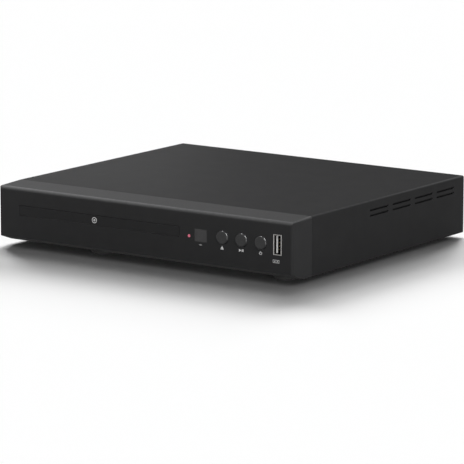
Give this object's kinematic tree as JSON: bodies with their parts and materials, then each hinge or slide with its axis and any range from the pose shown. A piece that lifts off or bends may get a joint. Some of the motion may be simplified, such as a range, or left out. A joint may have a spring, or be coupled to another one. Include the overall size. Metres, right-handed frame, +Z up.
{
  "type": "disc player",
  "caption": "Slim disc player: flat case on rubber feet, tray that slides out of the front, round push buttons, lamp, window and upright USB port, loader and boards inside, jacks at the rear.",
  "frame": {"origin": "centre of the overall box on the resting plane, below the feet", "axes": "+X to the right across the front, +Y from the front panel to the rear jacks, +Z up"},
  "size_m": [0.235, 0.2152, 0.0418],
  "materials": {
    "cover_paint": "satin",
    "panel_plastic": "fine satin",
    "zinc_sheet": "satin",
    "black_rubber": "matt",
    "screw_steel": "satin",
    "window_plastic": "gloss",
    "lamp_plastic": "gloss",
    "button_plastic": "satin",
    "port_steel": "bright",
    "white_plastic": "satin",
    "loader_plastic": "matt",
    "tray_plastic": "matt",
    "motor_steel": "satin",
    "black_plastic": "matt",
    "board_green": "semi gloss",
    "fin_aluminium": "satin",
    "pin_brass": "bright",
    "lens_glass": "clear",
    "sensor_plastic": "gloss",
    "wound_copper": "taped",
    "capacitor_film": "gloss",
    "lead_plastic": "satin",
    "jack_plastic": "satin",
    "jack_nickel": "bright"
  },
  "bodies": {
    "case": {"top_cover": "cover_paint", "chassis": "zinc_sheet", "front_panel": "panel_plastic", "feet": "black_rubber", "cover_screws": "screw_steel", "status_window": "window_plastic", "led_lens": "lamp_plastic", "usb_shell": "port_steel", "usb_tongue": "white_plastic", "front_board": "board_green", "ir_receiver": "sensor_plastic", "power_led": "lamp_plastic", "switch_bodies": "black_plastic", "front_ribbon": "white_plastic", "loader_frame": "loader_plastic", "clamp_bridge": "zinc_sheet", "loading_motor": "motor_steel", "drive_belt": "black_rubber", "traverse_bushes": "black_rubber", "loader_screws": "screw_steel", "loader_ribbon": "white_plastic", "main_board": "board_green", "chips": "black_plastic", "heat_sink": "fin_aluminium", "board_sockets": "white_plastic", "board_screws": "screw_steel", "power_board": "board_green", "transformer": "wound_copper", "capacitors": "capacitor_film", "power_leads": "lead_plastic", "mains_inlet": "black_plastic", "inlet_pins": "pin_brass", "av_block": "black_plastic", "jack_sleeves": "jack_nickel", "jack_cores": "jack_plastic", "hdmi_shell": "port_steel"},
    "tray": {"disc_tray": "tray_plastic", "tray_door": "panel_plastic"},
    "rack_wheel": {"rack_gear": "white_plastic"},
    "belt_wheel": {"belt_gear": "white_plastic"},
    "motor_wheel": {"motor_pulley": "white_plastic"},
    "cam": {"cam_slider": "white_plastic"},
    "traverse": {"traverse_frame": "zinc_sheet", "spindle_motor": "motor_steel", "guide_rods": "motor_steel", "feed_motor": "motor_steel"},
    "platter": {"turntable": "black_plastic", "turntable_pad": "black_rubber"},
    "clamp": {"disc_clamp": "white_plastic", "clamp_plate": "motor_steel"},
    "pickup": {"optical_pickup": "black_plastic", "objective_lens": "lens_glass"},
    "feed_wheel": {"feed_gear": "white_plastic"},
    "feed_drive": {"feed_pinion": "pin_brass"},
    "eject": {"eject_button": "button_plastic", "eject_plunger": "white_plastic"},
    "play": {"play_button": "button_plastic", "play_plunger": "white_plastic"},
    "standby": {"standby_button": "button_plastic", "standby_plunger": "white_plastic"}
  },
  "joints": [
    {"name": "tray_slide", "type": "slide", "parent": "case", "child": "tray", "axis": [0, -1, 0], "range_m": [0, 0.13]},
    {"name": "rack_gear_spin", "type": "hinge", "parent": "case", "child": "rack_wheel", "pos_m": [-0.0868, -0.08085, 0.018], "axis": [0, 0, 1], "range_deg": [-5, 940]},
    {"name": "belt_gear_spin", "type": "hinge", "parent": "case", "child": "belt_wheel", "pos_m": [-0.0676, -0.08085, 0.016], "axis": [0, 0, 1], "range_deg": [-2800, 5]},
    {"name": "motor_pulley_spin", "type": "hinge", "parent": "case", "child": "motor_wheel", "pos_m": [-0.029, -0.08085, 0.018], "axis": [0, 0, 1], "range_deg": [-9260, 5]},
    {"name": "traverse_tilt", "type": "hinge", "parent": "case", "child": "traverse", "pos_m": [-0.035, 0.04315, 0.016], "axis": [1, 0, 0], "range_deg": [0, 4.5]},
    {"name": "cam_slide", "type": "slide", "parent": "case", "child": "cam", "axis": [1, 0, 0], "range_m": [0, 0.0242]},
    {"name": "turntable_spin", "type": "hinge", "parent": "traverse", "child": "platter", "pos_m": [-0.035, -0.03685, 0.025], "axis": [0, 0, 1], "continuous": true},
    {"name": "clamp_spin", "type": "hinge", "parent": "case", "child": "clamp", "pos_m": [-0.035, -0.03685, 0.031], "axis": [0, 0, 1], "continuous": true},
    {"name": "pickup_slide", "type": "slide", "parent": "traverse", "child": "pickup", "axis": [0, 1, 0], "range_m": [0, 0.034]},
    {"name": "feed_gear_spin", "type": "hinge", "parent": "traverse", "child": "feed_wheel", "pos_m": [-0.0034, 0.01115, 0.019], "axis": [0, 0, 1], "range_deg": [-545, 3]},
    {"name": "feed_pinion_spin", "type": "hinge", "parent": "traverse", "child": "feed_drive", "pos_m": [-0.0034, 0.02135, 0.019], "axis": [0, 0, 1], "range_deg": [-5, 1310]},
    {"name": "eject_press", "type": "slide", "parent": "case", "child": "eject", "axis": [0, 1, 0], "range_m": [0, 0.0008], "stiffness_N_per_m": 400},
    {"name": "play_press", "type": "slide", "parent": "case", "child": "play", "axis": [0, 1, 0], "range_m": [0, 0.0008], "stiffness_N_per_m": 400},
    {"name": "standby_press", "type": "slide", "parent": "case", "child": "standby", "axis": [0, 1, 0], "range_m": [0, 0.0008], "stiffness_N_per_m": 400}
  ],
  "couplings": [
    {"joint": "rack_gear_spin", "follows": "tray_slide", "rad_per_m": 125},
    {"joint": "belt_gear_spin", "follows": "tray_slide", "rad_per_m": -375},
    {"joint": "motor_pulley_spin", "follows": "tray_slide", "rad_per_m": -1240.4},
    {"joint": "cam_slide", "follows": "traverse_tilt", "m_per_rad": 0.30558},
    {"joint": "clamp_spin", "follows": "turntable_spin", "ratio": 1},
    {"joint": "feed_gear_spin", "follows": "pickup_slide", "rad_per_m": -277.78},
    {"joint": "feed_pinion_spin", "follows": "pickup_slide", "rad_per_m": 666.67}
  ]
}
